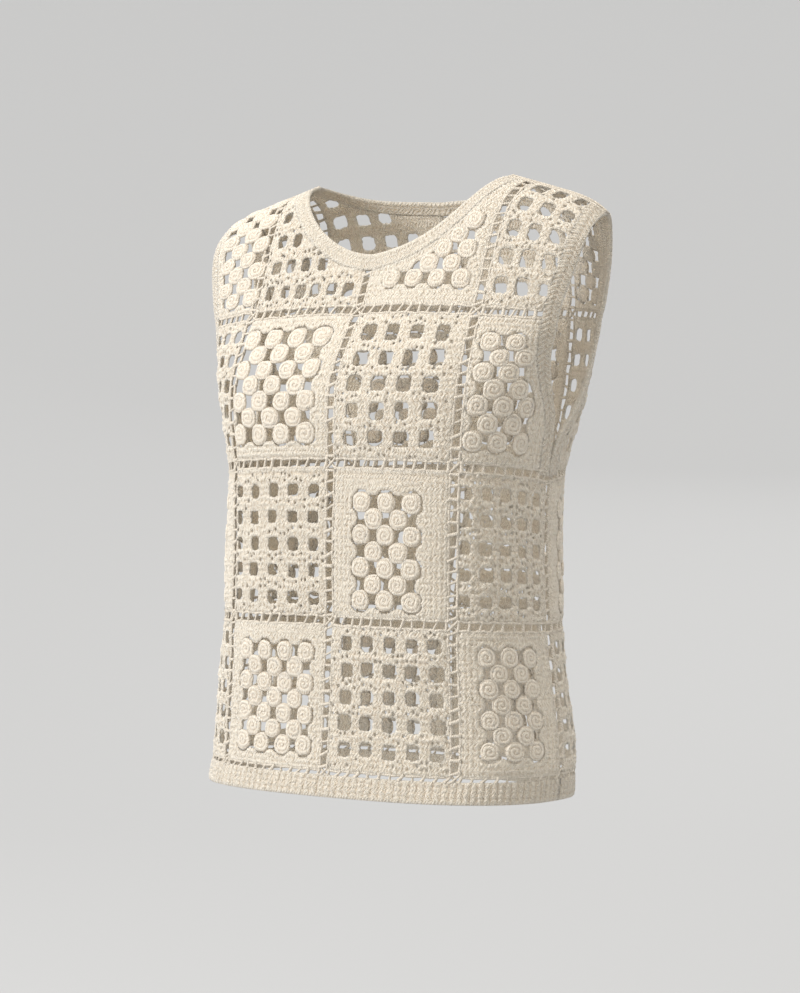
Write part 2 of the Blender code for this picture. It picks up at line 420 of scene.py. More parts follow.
ladder = {"halfOpen": 4.0, "hemOpen": 1.8, "rungEvery": 10.6, "threadThick": 1.3, "vary": (0.72, 1.3),
          "root": 0.55, "grip": 1.1, "bow": 0.25, "rise": 0.2, "cordThick": 1.15, "chainEvery": 3.8,
          "bead": 1.9, "beside": 0.1}
cloth = {"middle": -1.5, "half": 1.3, "rimShare": 0.5, "rimReach": 1.9, "shoulderGap": 0.4,
         "step": {"front": 1.42, "back": 2.2}}
bandWork = {"half": 1.35, "rimShare": 0.55, "rimReach": 1.6, "step": {"front": 1.5, "back": 2.0},
            "joined": 1.2}


# patterns of the squares
# places are shares of a square, counted from its right hand edge as worn and from its foot
def window(across, up, hole, lean=0.0):
    return {"kind": "window", "across": across, "up": up, "hole": hole, "lean": lean}


def coils(across, up, disc, lean=0.0):
    return {"kind": "coils", "across": across, "up": up, "disc": disc, "lean": lean}


outerWindow = window((0.115, 0.19, 5), (0.165, 0.172, 5), (10.5, 11.5))
frontPatterns = {
    ("lower", "inner_right"): coils((0.22, 0.197, 4), (0.165, 0.1035, 7), (8.6, 8.2)),
    ("lower", "inner_left"): window((0.170, 0.177, 5), (0.165, 0.174, 5), (12.6, 12.8)),
    ("lower", "outer_left"): coils((0.29, 0.205, 3), (0.186, 0.1028, 7), (7.6, 7.9)),
    ("lower", "outer_right"): outerWindow,
    ("middle", "inner_right"): window((0.085, 0.195, 5), (0.145, 0.170, 5), (11.6, 11.2)),
    ("middle", "inner_left"): coils((0.28, 0.207, 3), (0.140, 0.1035, 7), (8.9, 8.4)),
    ("middle", "outer_left"): window((0.105, 0.185, 5), (0.160, 0.172, 5), (11.2, 11.8)),
    ("middle", "outer_right"): coils((0.29, 0.205, 3), (0.150, 0.1035, 7), (7.6, 8.2)),
    ("bust", "inner_right"): coils((0.105, 0.224, 4), (0.188, 0.105, 7), (9.6, 8.6)),
    ("bust", "inner_left"): window((0.183, 0.202, 4), (0.160, 0.171, 5), (13.8, 14.0)),
    ("bust", "outer_left"): coils((0.165, 0.215, 3), (0.165, 0.104, 7), (8.2, 8.2), 0.08),
    ("bust", "outer_right"): window((0.315, 0.19, 4), (0.165, 0.172, 5), (10.5, 11.5)),
    ("yoke", "inner_right"): window((0.135, 0.145, 6), (0.135, 0.168, 5), (10.2, 12.2)),
    ("yoke", "inner_left"): coils((0.233, 0.196, 4), (0.190, 0.0905, 7), (8.8, 8.1)),
    ("yoke", "outer_left"): window((0.17, 0.2, 3), (0.165, 0.187, 5), (12.6, 16.2)),
    ("yoke", "outer_right"): coils((0.375, 0.265, 3), (0.135, 0.090, 9), (9.6, 8.2)),
}


def turned(pattern):
    # the same pattern seen from the other hand
    first, pitch, count = pattern["across"]
    made = dict(pattern)
    made["across"] = (1 - first - pitch * (count - 1), pitch, count)
    made["lean"] = -pattern["lean"]
    return made


backInner = {
    "lower": frontPatterns[("lower", "inner_right")],
    "middle": frontPatterns[("middle", "inner_right")],
    "bust": coils((0.20, 0.20, 4), (0.188, 0.105, 7), (8.8, 8.4)),
    "yoke": window((0.135, 0.18, 5), (0.135, 0.168, 5), (12.0, 12.5)),
}
backOuter = {
    "lower": outerWindow,
    "middle": frontPatterns[("middle", "outer_right")],
    "bust": window((0.315, 0.19, 4), (0.165, 0.172, 5), (10.5, 11.5)),
    "yoke": coils((0.42, 0.22, 3), (0.135, 0.093, 9), (8.2, 8.2)),
}
backPatterns = {}
for rowName in rowNames:
    backPatterns[(rowName, "inner_right")] = backInner[rowName]
    backPatterns[(rowName, "inner_left")] = turned(backInner[rowName])
    backPatterns[(rowName, "outer_right")] = backOuter[rowName]
    backPatterns[(rowName, "outer_left")] = turned(backOuter[rowName])
patterns = {"front": frontPatterns, "back": backPatterns}
columnStart = {"outer_right": -2, "inner_right": -1, "inner_left": 0, "outer_left": 1}


def roundedBox(u, v, centreU, centreV, halfWide, halfHigh, power):
    # about the distance outside a box with round corners
    du, dv = u - centreU, v - centreV
    ratio = (np.abs(du / halfWide) ** power + np.abs(dv / halfHigh) ** power) ** (1 / power)
    small = min(halfWide, halfHigh)
    outside = (1 - 1 / np.maximum(ratio, 1e-3)) * np.hypot(du, dv)
    return np.where(ratio > 1, outside, (ratio - 1) * small)


def softMost(a, b, blend):
    # the larger of two distances, with the corner between them filled in
    mix = np.clip(0.5 + 0.5 * (a - b) / blend, 0, 1)
    return b * (1 - mix) + a * mix + blend * mix * (1 - mix)


# how far the cloth goes on under a band, in shares of a square, and the slope of the armhole
trimWork = {"arm": 0.009, "armSlope": 0.96, "neckWide": 0.007, "neckDeep": 0.006, "far": 99.0}


def trimFor(side, rowName, column):
    # millimetres of cloth left before the armhole band or the neck band
    low = rowNames.index(rowName)
    start = columnStart[column]
    reach = column.split("_")[0]
    wide, high = squareWide[reach], squareHigh[rowName]

    def trim(u, v):
        across, row = start + u / wide, low + v / high
        room = np.full(np.shape(u), trimWork["far"])
        if reach == "outer" and low >= 2:
            edge = armEdge(side, np.clip(row, 2, 4)) - armhole["bandWide"] + trimWork["arm"]
            room = np.minimum(room, (edge - np.abs(across)) * wide * trimWork["armSlope"])
        if reach == "inner" and low == 3:
            wideOut = neck["bandWide"] - trimWork["neckWide"]
            deepOut = neck["bandDrop"] - trimWork["neckDeep"]
            room = np.minimum(room, neckReach(side, across, row, wideOut, deepOut))
        return room

    return trim


stitchWork = {"rowHigh": 5.2, "wide": 4.6, "lean": 8.5, "stitch": 0.36, "between": 0.32, "uneven": 0.42}


def hatch(u, v, seed):
    # rows of crochet stitches, leaning one way and then the other
    bent = v + 0.9 * np.sin(u * 0.21 + seed) + 0.5 * np.sin(u * 0.57 + 2 * seed)
    line = np.floor(bent / stitchWork["rowHigh"])
    lean = np.where(line % 2 == 0, 1.0, -1.0) * bent / stitchWork["lean"]
    stitch = np.sin(2 * np.pi * (u / stitchWork["wide"] + lean + 0.37 * line + seed + 0.12 * np.sin(v * 0.9)))
    between = np.cos(2 * np.pi * bent / stitchWork["rowHigh"])
    uneven = np.sin(u * 0.83 + 2.1 * np.sin(v * 0.37 + seed)) * np.sin(v * 0.71 + 1.7 * np.sin(u * 0.29))
    return stitchWork["stitch"] * stitch - stitchWork["between"] * between + stitchWork["uneven"] * uneven


# a share of the little gaps between stitches goes right through, more of them at the front
pinWork = {"share": {"front": 0.42, "back": 0.15}, "wide": (1.05, 1.4), "high": (1.2, 1.8), "round": 2.2,
           "reach": 9, "soft": 0.45, "deep": 1.1}
windowWork = {"drift": (0.9, 0.8), "vary": (0.9, 1.12), "corner": (3.2, 6.5),
              "margin": 1.0, "least": 2.0, "tall": 1.7, "bars": 0.55, "far": 50.0}
crossGaps = {"at": ((-2.4, -3.1), (2.6, -3.0), (-2.2, 3.2), (2.5, 3.3)),
             "drift": (0.5, 0.5), "half": (0.9, 1.4)}
barGaps = {"at": (-4.2, 0.0, 4.3), "drift": (0.6, 2.4), "half": (0.8, 1.1)}
discWork = {"drift": (0.45, 0.35), "vary": (0.96, 1.05), "gap": (1.3, 2.2), "margin": 1.5, "leastShare": 0.4,
            "trimmed": 9.5, "cut": 0.95, "round": 2.4, "blend": 2.2}
borderWork = {"arcEvery": 4.8, "arcReach": 22, "arcs": 0.42, "spokes": 0.30, "hatch": 0.5}
edgeLine = {"at": 0.935, "wide": 1.1, "deep": 0.9, "hollowShade": 0.8}
squarePieces = {}


def squareName(side, rowName, column):
    return side + "_" + rowName + "_" + column


def roomAt(trim, u, v):
    return float(trim(np.array([u]), np.array([v]))[0])


def drifted(rng, u, v, drift):
    return u + rng.uniform(-drift[0], drift[0]), v + rng.uniform(-drift[1], drift[1])


def windowPlaces(pattern, middleOf, trim, rng):
    # the windows, and the little gaps between the stitches of the bars
    count, countUp = pattern["across"][2], pattern["up"][2]
    openings, pits = [], []
    for k in range(count):
        for j in range(countUp):
            cu, cv = drifted(rng, *middleOf(k, j), windowWork["drift"])
            halfWide = pattern["hole"][0] / 2 * rng.uniform(*windowWork["vary"])
            halfHigh = pattern["hole"][1] / 2 * rng.uniform(*windowWork["vary"])
            room = roomAt(trim, cu, cv) - windowWork["margin"]
            if room < windowWork["least"]:
                continue
            halfWide, halfHigh = min(halfWide, room), min(halfHigh, room * windowWork["tall"])
            openings.append((cu, cv, halfWide, halfHigh, rng.uniform(*windowWork["corner"])))
    for k in range(-1, count):
        for j in range(-1, countUp):
            cu, cv = middleOf(k + 0.5, j + 0.5)
            for du, dv in crossGaps["at"]:
                pits.append(drifted(rng, cu + du, cv + dv, crossGaps["drift"]) + crossGaps["half"])
    for k in range(count):
        for j in range(-1, countUp):
            cu, cv = middleOf(k, j + 0.5)
            for du in barGaps["at"]:
                pits.append(drifted(rng, cu + du, cv, barGaps["drift"]) + barGaps["half"])
    return openings, pits


def coilPlaces(pattern, middleOf, trim, rng):
    # every place of the field shapes the border round it; only the places inside carry a coil
    count, countUp = pattern["across"][2], pattern["up"][2]
    rx, ry = pattern["disc"]
    discs, rounds = [], []
    for j in range(-1, countUp + 1):
        odd = j % 2 == 0
        for k in range(-1, count + 1):
            cu, cv = drifted(rng, *middleOf(k, j, 0.0 if odd else 0.5), discWork["drift"])
            room = roomAt(trim, cu, cv)
            if room < rx * discWork["leastShare"]:
                continue
            size = rng.uniform(*discWork["vary"])
            phase = rng.uniform(0, 2 * np.pi)
            discs.append((cu, cv, rx * size, ry * size))
            inside = 0 <= j < countUp and 0 <= k < (count if odd else count - 1)
            if inside and room >= rx + discWork["margin"]:
                rounds.append((cu, cv, rx * size, ry * size, phase))
    return discs, rounds


def makeSquare(side, rowName, column):
    pattern = patterns[side][(rowName, column)]
    reach = column.split("_")[0]
    wide, high = squareWide[reach], squareHigh[rowName]
    low, start = rowNames.index(rowName), columnStart[column]
    trim = trimFor(side, rowName, column)
    name = squareName(side, rowName, column)
    rng = np.random.default_rng(sum(ord(c) for c in name) * 7 + len(name))
    first, pitch, count = pattern["across"]
    firstUp, pitchUp, countUp = pattern["up"]

    def middleOf(k, j, shift=0.0):
        up = firstUp + pitchUp * j
        return (first + pitch * (k + shift) + pattern["lean"] * (up - 0.5)) * wide, up * high

    openings, pits, discs, rounds = [], [], [], []
    if pattern["kind"] == "window":
        openings, pits = windowPlaces(pattern, middleOf, trim, rng)
    else:
        discs, rounds = coilPlaces(pattern, middleOf, trim, rng)
        reachU, reachV = pattern["disc"]
        gapU, gapV = discWork["gap"]
        leftEdge = (first * wide) - reachU - gapU
        rightEdge = (first + pitch * (count - 1)) * wide + reachU + gapU
        lowEdge = firstUp * high - reachV - gapV
        highEdge = (firstUp + pitchUp * (countUp - 1)) * high + reachV + gapV
    corner = rng.uniform(0, 5)
    pinholes = [pit[:2] + (rng.uniform(*pinWork["wide"]), rng.uniform(*pinWork["high"]), pinWork["round"])
                for pit in pits if rng.random() < pinWork["share"][side]]

    def bodyField(u, v):
        # about the distance into the cloth from its nearest hole
        wobble = 0.5 * np.sin(u * 1.05 + corner) * np.sin(v * 0.9 + 2 * corner)
        wobble = wobble + 0.3 * np.sin(u * 1.7 + v * 1.4)
        if discs:
            straightU = u - pattern["lean"] * (v / high - 0.5) * wide
            outside = np.maximum(np.maximum(leftEdge - straightU, straightU - rightEdge),
                                 np.maximum(lowEdge - v, v - highEdge))
            body = np.maximum(outside, discWork["trimmed"] - trim(u, v))
            for cu, cv, dx, dy in discs:
                cut = discWork["cut"]
                shape = -roundedBox(u, v, cu, cv, dx * cut, dy * cut, discWork["round"])
                body = softMost(body, shape, discWork["blend"])
        else:
            body = np.full(np.shape(u), windowWork["far"])
            for opening in openings:
                body = np.minimum(body, roundedBox(u, v, *opening))
        body = body + wobble
        for hole in pinholes:
            near = (np.abs(u - hole[0]) < pinWork["reach"]) & (np.abs(v - hole[1]) < pinWork["reach"])
            if near.any():
                body[near] = np.minimum(body[near], roundedBox(u[near], v[near], *hole))
        return body

    def field(u, v):
        return np.minimum(bodyField(u, v), trim(u, v))

    inset = ladder["halfOpen"]
    left, right = inset, wide - inset
    foot = ladder["hemOpen"] if low == 0 else inset
    head = high - (cloth["shoulderGap"] if low == 3 else inset)
    u, v, tris = cutCloth(field, left, right, foot, head, cloth["step"][side])
    over = bandWork["joined"]  # how far the cloth goes on under a band or a seam cord
    edge = np.minimum(v - foot, head - v + (over if low == 3 else 0))
    edge = np.minimum(np.minimum(u - left, right - u), edge)
    room = trim(u, v)
    inner = bodyField(u, v)
    distance = np.maximum(np.minimum(np.minimum(inner, room + over), edge), 0)
    onRim = np.zeros(len(u), bool)
    onRim[np.unique(rimEdges(tris))] = True
    # the edge that meets a band keeps its thickness
    meets = (room < 0.6) | ((head - v < 0.01) & (low == 3))
    distance[onRim & ~meets] = 0
    height = roundedHeight(distance, cloth["half"], cloth["rimShare"], cloth["rimReach"])
    relief = hatch(u, v, corner)
    if discs:
        # the border is worked in arcs round the field of coils
        arcs = np.cos(2 * np.pi * (inner - 2.3) / borderWork["arcEvery"])
        spokes = np.sin(2 * np.pi * (u + v) / 4.4 + 1.5 * np.sin(u * 0.2)) * np.sin(2 * np.pi * (u - v) / 5.3)
        arcs = np.where(inner < borderWork["arcReach"], borderWork["arcs"] * arcs, 0)
        relief = borderWork["hatch"] * relief + arcs + borderWork["spokes"] * spokes
    if openings:
        # the level bars stand a little proud of the upright ones
        bars = np.cos(2 * np.pi * (v / high - firstUp) / pitchUp)
        relief = relief - windowWork["bars"] * bars * np.clip(edge / 14, 0, 1)
    # painted shade: the cloth's colour darkens where the stitch relief dips, in the pits between stitches and
    # along the edge line
    hollowShade = np.clip(-relief * 0.9, 0, 0.55)
    for cu, cv, wideHalf, highHalf in pits:
        soft = pinWork["soft"]
        dip = np.exp(-((u - cu) / (wideHalf + soft)) ** 2 - ((v - cv) / (highHalf + soft)) ** 2)
        relief = relief - pinWork["deep"] * dip
        hollowShade = np.maximum(hollowShade, dip)
    if rowName == "middle" and side == "front":
        # the edge line worked along the top of this row of squares, a groove with painted shade in it
        line = np.exp(-((v - high * edgeLine["at"]) / edgeLine["wide"]) ** 2)
        relief = relief - edgeLine["deep"] * line
        hollowShade = np.maximum(hollowShade, edgeLine["hollowShade"] * line)
    relief = relief * np.clip(distance / 1.6, 0, 1)
    flat = np.stack([u + rng.uniform(0, 900), v + rng.uniform(0, 900), np.zeros(len(u))], axis=1)
    across, row = start + u / wide, low + v / high
    topLift, lowLift = cloth["middle"] + height + relief, cloth["middle"] - height - 0.5 * relief
    piece = wallSolid("square_" + name, side, across, row, tris, topLift, lowLift, flat, hollowShade)
    corners = np.stack([u, v], axis=1)[tris]
    ab, ac = corners[:, 1] - corners[:, 0], corners[:, 2] - corners[:, 0]
    area = float(np.abs(ab[:, 0] * ac[:, 1] - ab[:, 1] * ac[:, 0]).sum() / 2) * 1e-6
    extra = makeCoils("coils_" + name, side, rounds, start, low, wide, high, rng) if rounds else None
    return piece, extra, area


coilWork = {"turns": 2.4, "dome": 1.7, "ridge": 1.15, "base": -1.2, "under": 1.7, "wider": 1.08,
            "square": 2.6, "tilt": 0.45, "rise": 0.25, "layersUnder": 4,
            "rings": {"front": 14, "back": 8}, "spokes": {"front": 28, "back": 16}}


def makeCoils(name, side, rounds, start, low, wide, high, rng):
    # domed coils of yarn, all those of one square in one piece
    rings, spokes = coilWork["rings"][side], coilWork["spokes"][side]
    base, under, dome = coilWork["base"], coilWork["under"], coilWork["dome"]
    turn = np.linspace(0, 2 * np.pi, spokes, endpoint=False)
    rho, theta = np.meshgrid(np.linspace(0, 1, rings + 1)[1:], turn, indexing="ij")
    shareUnder = np.linspace(1, 0, coilWork["layersUnder"] + 1)[1:-1]
    rhoUnder, thetaUnder = np.meshgrid(shareUnder, turn, indexing="ij")
    power = coilWork["square"]
    squareness = (np.abs(np.cos(theta)) ** power + np.abs(np.sin(theta)) ** power) ** (-1 / power)
    squareness = coilWork["wider"] * squareness
    total = rings + len(shareUnder)
    allPoints, allFaces, allFlat, allHollowShade = [], [], [], []
    for number, (cu, cv, rx, ry, phase) in enumerate(rounds):
        wobble = 1 + 0.025 * np.sin(3 * theta + phase) + 0.02 * np.sin(5 * theta + 2 * phase)
        tiltU, tiltV = (rng.uniform(-coilWork["tilt"], coilWork["tilt"]) for _ in range(2))
        rise = rng.uniform(-coilWork["rise"], coilWork["rise"])

        def layer(rho, theta, squareness, wobble, lift, hollowShade):
            u = cu + rx * rho * squareness * wobble * np.cos(theta)
            v = cv + ry * rho * squareness * wobble * np.sin(theta)
            return u, v, lift + rise + rho * (tiltU * np.cos(theta) + tiltV * np.sin(theta)), hollowShade

        swell = np.sqrt(np.maximum(1 - rho**4.5, 0))
        coil = np.abs(np.sin(np.pi * (coilWork["turns"] * rho - (theta + phase) / (2 * np.pi)))) ** 0.6
        lift = base + dome * swell + coilWork["ridge"] * (coil - 0.5) * swell ** 0.5
        lift = lift + 0.08 * np.sin(theta * 9 + rho * 14 + phase) * (1 - rho)
        # painted shade: darker in the grooves between the coil's turns, in a ring at its rim, a little at its
        # middle and on its underside
        hollowShade = np.clip(0.85 - coil, 0, 1) * 1.2 + 0.25 * np.clip(rho - 0.85, 0, 1) / 0.15
        topLayer = layer(rho, theta, squareness, wobble, lift, hollowShade)
        few = len(shareUnder)
        liftUnder = base - under * np.sqrt(np.maximum(1 - rhoUnder**4.5, 0))
        lowLayer = layer(rhoUnder, thetaUnder, squareness[:few], wobble[:few], liftUnder,
                         np.full(rhoUnder.shape, 0.1))
        centreTop = np.array([[cu], [cv], [base + dome + rise - 0.2], [0.3]])
        centreLow = np.array([[cu], [cv], [base - under + rise], [0.1]])
        u, v, lift, hollowShade = (np.concatenate([a.ravel() for a in parts])
                              for parts in zip(topLayer, lowLayer, centreTop, centreLow))
        allPoints.append(placeOn(side, start + u / wide, low + v / high, lift))
        allFaces.append(ringFaces(total, spokes) + number * (total * spokes + 2))
        allFlat.append(np.stack([u + 300, v + 300, np.full(len(u), flatLevel["coil"])], axis=1))
        allHollowShade.append(hollowShade)
    faces = np.concatenate(allFaces)
    if side == "back":
        faces = faces[:, ::-1]
    points, flat, hollowShade = (np.concatenate(values) for values in (allPoints, allFlat, allHollowShade))
    return meshFrom(name, points, faces, flat, hollowShade)


for side in sides:
    for rowName in rowNames:
        for column in columnStart:
            squarePieces[squareName(side, rowName, column)] = makeSquare(side, rowName, column)
    print("squares worked on the", side)


# neck, armhole and hem bands
# flat sizes in millimetres, width and then height as they are worn
bandSize = {"neckBand_front": (330.0, 15.0), "neckBand_back": (255.0, 15.0), "armBand": (16.0, 285.0),
            "hemBand": (2.26 * (squareWide["inner"] + squareWide["outer"]), 20.0)}
# where a band lies on the flat, which sets the run of its grain
flatShift = {"neck": {"front": (40, 80), "back": (71, 142)}, "hem": {"front": (11, 22), "back": (23, 46)},
             "arm": {"left": (130, 77), "right": (-130, 77)}}
bandPieces = {}


def makeBand(name, across, row, a, b, wide, relief, shift, joined=bandWork["joined"]):
    # across and row are grids of places; a runs along the band and b over its width, on the flat
    countA, countB = across.shape
    distance = np.minimum(b + joined, wide - b)
    height = roundedHeight(distance, bandWork["half"], bandWork["rimShare"], bandWork["rimReach"])
    raised = relief(a, b)
    # painted shade where the band's stitch relief dips
    hollowShade = np.clip(-raised * 1.3, 0, 0.6)
    raised = raised * np.clip(distance / 1.4, 0.15, 1)
    flat = np.stack([a + shift[0], b + shift[1], np.zeros(a.shape)], axis=2).reshape(-1, 3)
    bandPieces[name] = wallSolid(name, name.split("_")[1], across.ravel(), row.ravel(),
                                 gridTris(countA - 1, countB - 1),
                                 (cloth["middle"] + height + raised).ravel(),
                                 (cloth["middle"] - height - 0.4 * raised).ravel(), flat, hollowShade.ravel())


def neckRelief(a, b):
    edge = np.exp(-((b - 14.0) / 1.3) ** 2) + 0.5 * np.exp(-((b - 1.2) / 1.2) ** 2)
    rows = 0.12 * np.sin(2 * np.pi * b / 3.7)
    return 0.4 * edge + 1.6 * rows + 0.26 * np.sin(2 * np.pi * (a / 4.6 + 0.3 * np.sin(b * 0.9)))


def armRelief(a, b):
    # slanting stitches on both sides of a middle line, and a corded edge
    slant = np.abs(b - 8.0)
    stitch = np.sin(2 * np.pi * (a / 5.6 + slant / 7.5))
    middle = np.exp(-((b - 8.0) / 1.0) ** 2)
    edge = np.exp(-((b - 14.6) / 1.3) ** 2)
    return 0.46 * stitch * (1 - edge) - 0.5 * middle + 0.7 * edge + 0.12 * np.sin(a * 0.7 + b)


def hemRelief(a, b):
    # knit ribs up the band, each one a row of leaning stitches
    ribWide = 7.2
    place = a / ribWide - np.floor(a / ribWide)
    body = np.sin(np.pi * place) ** 0.7
    lean = np.abs(place - 0.5) * ribWide
    stitch = np.sin(2 * np.pi * (b / 4.0 + lean / 4.2))
    fade = np.clip((b - 0.5) / 3, 0, 1)
    return (1.5 * (body - 0.65) + 0.5 * stitch * body) * (0.35 + 0.65 * fade)


def neckEdge(side, turn, wide, deep):
    # a line round the neck, wide and deep outside its edge
    n = 2.0 / neck["round"][side]
    angle = np.abs(turn) * np.pi / 2
    across = (form["neckHalf"] / form["seamAtShoulder"] + wide) * np.sin(angle) ** n * np.sign(turn)
    return across, 4.0 - (neck["drop"][side] + deep) * np.cos(angle) ** n


def makeNeckBand(side, step):
    long, wide = bandSize["neckBand_" + side]
    turn = np.linspace(-1, 1, int(long / step) + 1)
    share = np.linspace(0, 1, 10)
    outAcross, outRow = neckEdge(side, turn, neck["bandWide"], neck["bandDrop"])
    inAcross, inRow = neckEdge(side, turn, 0.0, 0.0)
    across = outAcross[:, None] * (1 - share) + inAcross[:, None] * share
    row = np.minimum(outRow[:, None] * (1 - share) + inRow[:, None] * share, 3.9985)
    a, b = np.meshgrid(np.linspace(0, long, len(turn)), np.linspace(0, wide, len(share)), indexing="ij")
    makeBand("neckBand_" + side, across, row, a, b, wide, neckRelief, flatShift["neck"][side])


def makeArmBands(side, step):
    wide, long = bandSize["armBand"]
    rows = np.linspace(2.002, 3.9985, int(long / step) + 1)
    share = np.linspace(0, 1, 11)
    outer = armEdge(side, rows) - 0.002
    inner = armEdge(side, rows) - armhole["bandWide"] + 0.002
    across = inner[None, :] * (1 - share[:, None]) + outer[None, :] * share[:, None]
    row = np.broadcast_to(rows[None, :], across.shape)
    over, along = np.linspace(0, wide, len(share)), np.linspace(0, long, len(rows))
    for hand, sign in (("left", 1), ("right", -1)):
        b, a = np.meshgrid(over if sign > 0 else np.linspace(wide, 0, len(share)), along, indexing="ij")
        makeBand("armBand_" + side + "_" + hand, across if sign > 0 else -across[::-1], row, a, b, wide,
                 armRelief, flatShift["arm"][hand])


def makeHemBand(side, step):
    long, wide = bandSize["hemBand"]
    places = np.linspace(-1.9985, 1.9985, int(long / (step * 0.87)) + 1)
    across, row = np.meshgrid(places, np.linspace(-0.17, -0.016, 16), indexing="ij")
    a, b = np.meshgrid(np.linspace(0, long, len(places)), np.linspace(0, wide, 16), indexing="ij")
    makeBand("hemBand_" + side, across, row, a, b, wide, hemRelief, flatShift["hem"][side], joined=0.0)


for side in sides:
    makeNeckBand(side, bandWork["step"][side])
    makeArmBands(side, bandWork["step"][side])
    makeHemBand(side, bandWork["step"][side])
print("bands worked")


# joining ladders: threads across the gap and a chained cord along each edge
def mmUp(row):
    return float(np.interp(row, [0, 1, 2, 3, 4], [131, 134, 138.5, 144, 148]))


def mmAcross(across):
    return float(np.interp(abs(across), [0, 0.98, 1.02, 2], [125, 125, 102, 102]))


def seamParts(side, seam):
    # an up-and-down seam, one part for each row of squares that it passes
    top = 3.998
    if seam == 0:
        top = 4.0 - neck["drop"][side] - neck["bandDrop"] - 0.01
    if abs(seam) == 2:
        top = 2.2
    for level in range(int(math.ceil(top))):
        tall = mmUp(level + 0.5)
        inset = ladder["halfOpen"] / tall
        yield level + inset, level + 1 - inset if top >= level + 1 else top, tall


def levelParts(side, level):
    # a level seam, one part for each column of squares, with the gap at its ends where another seam crosses
    span = 1.9985 if level < 3 else float(armEdge(side, level)) - armhole["bandWide"] - 0.004
    for start in (-2, -1, 0, 1):
        wide = squareWide["inner" if start in (-1, 0) else "outer"]
        left, right, inset = max(start, -span), min(start + 1, span), ladder["halfOpen"] / wide
        yield left, right, wide, inset if left == start else 0, inset if right == start + 1 else 0


# slant is how far a thread leans over the gap, in millimetres
seamWork = {"endGap": 0.012, "drift": 0.9, "slant": (-0.4, 2.8)}
levelWork = {"endGap": 0.014, "drift": 0.8, "slant": (-0.2, 3.0), "closer": 0.98}
threadRng = np.random.default_rng(29)


def rung(side, across, row, share):
    # a thread over the gap, thicker where it is worked into the cloth
    rise = threadRng.uniform(-ladder["rise"], ladder["rise"])
    lift = cloth["middle"] + ladder["bow"] * (1 - share**2) + rise
    thick = ladder["threadThick"] * threadRng.uniform(*ladder["vary"]) * (1 + ladder["root"] * share**4)
    return side, np.stack([across, row, lift], axis=1), thick


def cord(side, across, row, wave):
    # a chain of beads along the edge of the gap
    chain = np.abs(np.sin(np.pi * np.arange(len(row)) * ladder["bead"] / ladder["chainEvery"] + 0.7))
    line = np.stack([across, row, cloth["middle"] + 0.1 + 0.35 * np.sin(wave)], axis=1)
    return side, line, ladder["cordThick"] * (0.65 + 0.65 * chain)


def seamRungs(side, seam):
    work = []
    share = np.linspace(-1, 1, 6)
    if abs(seam) == 2:
        share = np.linspace(-1, 0, 4) if seam > 0 else np.linspace(0, 1, 4)
    reach = ladder["halfOpen"] + ladder["grip"]
    across = seam + share * reach / np.where(share < 0, mmAcross(seam - 0.05), mmAcross(seam + 0.05))
    for first, last, tall in seamParts(side, seam):
        first, last = first + seamWork["endGap"], last - seamWork["endGap"]
        count = max(int(round((last - first) * tall / ladder["rungEvery"])), 1)
        for k in range(count + 1):
            drift = threadRng.uniform(-seamWork["drift"], seamWork["drift"]) / tall
            row = first + (last - first) * k / count + drift
            slant = threadRng.uniform(*seamWork["slant"]) / tall * (1 if side == "front" else -1)
            work.append(rung(side, across, row + slant * share, share))
    return work


def seamCords(side, seam):
    work = []
    for first, last, tall in seamParts(side, seam):
        count = int((last - first) * tall / ladder["bead"])
        row = np.linspace(first, last, count)
        for way in (-1, 1):
            if abs(seam) == 2 and way * seam > 0:
                continue
            out = (ladder["halfOpen"] + ladder["beside"]) / mmAcross(seam + way * 0.05)
            sway = 0.3 * np.sin(row * 47 + seam + way) + threadRng.uniform(-0.3, 0.3, count)
            work.append(cord(side, seam + way * out + sway / 125, row, row * 31 + way))
    return work


def levelRungs(side, level):
    work = []
    share = np.linspace(-1, 1, 6)
    reach = ladder["halfOpen"] + ladder["grip"]
    down, up = reach / mmUp(max(level - 0.05, 0)), reach / mmUp(level + 0.05)
    if level == 0:
        down, up = 2.6 / 131, (ladder["hemOpen"] + ladder["grip"]) / 131
    row = level + share * np.where(share < 0, down, up)
    for left, right, wide, *_ in levelParts(side, level):
        inset = ladder["halfOpen"] / wide
        first, last = left + inset + levelWork["endGap"], right - inset - levelWork["endGap"]
        if last <= first:
            continue
        count = max(int(round((last - first) * wide / (ladder["rungEvery"] * levelWork["closer"]))), 1)
        for k in range(count + 1):
            drift = threadRng.uniform(-levelWork["drift"], levelWork["drift"]) / wide
            across = first + (last - first) * k / count + drift
            slant = threadRng.uniform(*levelWork["slant"]) / wide
            work.append(rung(side, across + slant * share, row, share))
    return work


def levelCords(side, level):
    work = []
    gap = ladder["hemOpen"] if level == 0 else ladder["halfOpen"]
    for left, right, wide, insetLeft, insetRight in levelParts(side, level):
        first, last = left + insetLeft, right - insetRight
        count = int((last - first) * wide / ladder["bead"])
        if count < 4:
            continue
        across = np.linspace(first, last, count)
        for way in (-1, 1):
            if level == 0 and way < 0:
                continue
            row = level + way * (gap + ladder["beside"]) / mmUp(max(level + way * 0.05, 0))
            sway = 0.3 * np.sin(across * 41 + level + way) + threadRng.uniform(-0.3, 0.3, count)
            work.append(cord(side, across, row + sway / 135, across * 37 + way))
    return work


